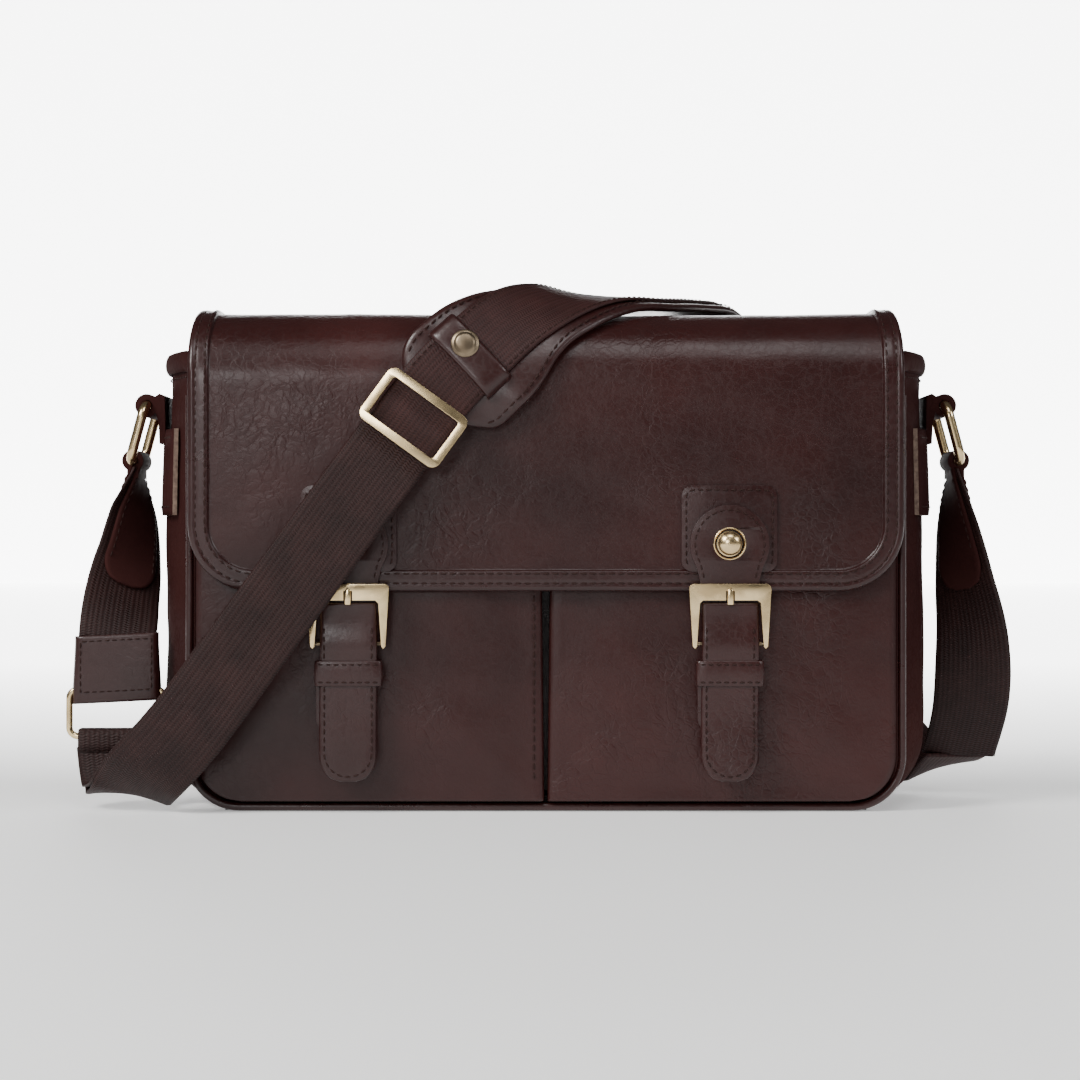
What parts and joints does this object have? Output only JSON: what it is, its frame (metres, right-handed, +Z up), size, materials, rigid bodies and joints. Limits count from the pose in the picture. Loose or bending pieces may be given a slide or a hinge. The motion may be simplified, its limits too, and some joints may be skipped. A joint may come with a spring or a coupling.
{
  "type": "camera messenger bag",
  "caption": "Soft-sided leather messenger bag for a camera, with a full buckled flap, front pockets, a padded divided inside and a webbing shoulder strap draped over the flap.",
  "frame": {"origin": "centre of the base panel's underside, under the middle of the bag body", "axes": "+X along the bag's width with the observer's right positive, -Y out of the front, +Z up"},
  "size_m": [0.4321, 0.1618, 0.2366],
  "materials": {
    "leather": "semi-gloss, fine creased grain",
    "trim_leather": "semi-gloss, stitched",
    "webbing": "ribbed woven webbing",
    "lining": "brushed cloth over foam",
    "board": "matte stiffener",
    "brass": "antique brushed",
    "magnet": "satin"
  },
  "bodies": {
    "bag": {"base_panel": "leather", "base_board": "board", "front_panel": "leather", "back_panel": "leather", "gusset_left": "leather", "gusset_right": "leather", "gusset_bindings": "trim_leather", "piping_front": "trim_leather", "piping_back": "trim_leather", "pocket_left": "leather", "pocket_right": "leather", "pocket_pleat": "trim_leather", "padded_liner": "lining", "pocket_magnets": "magnet", "side_patch_left": "trim_leather", "side_patch_right": "trim_leather", "ring_loop_left": "trim_leather", "ring_loop_right": "trim_leather", "flap_anchor": "leather", "strap_back": "webbing", "strap_drop_right": "webbing", "strap_drop_left": "webbing", "strap_sleeve": "trim_leather", "adjuster_ring": "brass", "strap_lower": "webbing"},
    "flap": {"flap_panel": "leather", "flap_lining": "lining", "flap_border": "trim_leather", "patch_left": "trim_leather", "patch_right": "trim_leather", "stud_left": "brass", "stud_right": "brass", "closure_tab_left": "trim_leather", "closure_tab_right": "trim_leather", "eyelets": "brass", "buckle_left": "brass", "buckle_right": "brass", "prong_left": "brass", "prong_right": "brass", "strap_front": "webbing", "strap_top": "trim_leather", "shoulder_pad": "leather", "slider": "brass", "pad_keeper": "trim_leather", "pad_button": "brass"},
    "strap_ring_left": {"ring_left": "brass", "end_tab_left": "trim_leather"},
    "strap_ring_right": {"ring_right": "brass", "end_tab_right": "trim_leather"},
    "strap_end_left": {"billet_left": "trim_leather", "chape_left": "trim_leather", "keeper_left": "trim_leather", "strap_magnets_left": "magnet"},
    "strap_end_right": {"billet_right": "trim_leather", "chape_right": "trim_leather", "keeper_right": "trim_leather", "strap_magnets_right": "magnet"},
    "liner_divider_left": {"divider_left": "lining"},
    "liner_divider_right": {"divider_right": "lining"}
  },
  "joints": [
    {"name": "flap_open", "type": "hinge", "parent": "bag", "child": "flap", "pos_m": [0, 0.059, 0.208], "axis": [-1, 0, 0], "range_deg": [0, 95], "deforming": ["strap_lower", "strap_back"]},
    {"name": "ring_left_swing", "type": "hinge", "parent": "bag", "child": "strap_ring_left", "pos_m": [-0.1824, 0, 0.1815], "axis": [0, 1, 0], "range_deg": [-4, 18], "deforming": ["strap_drop_left"]},
    {"name": "ring_right_swing", "type": "hinge", "parent": "bag", "child": "strap_ring_right", "pos_m": [0.1824, 0, 0.1815], "axis": [0, -1, 0], "range_deg": [-4, 18], "deforming": ["strap_drop_right"]},
    {"name": "strap_end_left_lift", "type": "hinge", "parent": "flap", "child": "strap_end_left", "pos_m": [-0.0865, -0.0665, 0.0745], "axis": [-1, 0, 0], "range_deg": [0, 42]},
    {"name": "strap_end_right_lift", "type": "hinge", "parent": "flap", "child": "strap_end_right", "pos_m": [0.0805, -0.0665, 0.0745], "axis": [-1, 0, 0], "range_deg": [0, 42]},
    {"name": "divider_left_slide", "type": "slide", "parent": "bag", "child": "liner_divider_left", "axis": [1, 0, 0], "range_m": [-0.035, 0.03]},
    {"name": "divider_right_slide", "type": "slide", "parent": "bag", "child": "liner_divider_right", "axis": [1, 0, 0], "range_m": [-0.03, 0.035]}
  ]
}
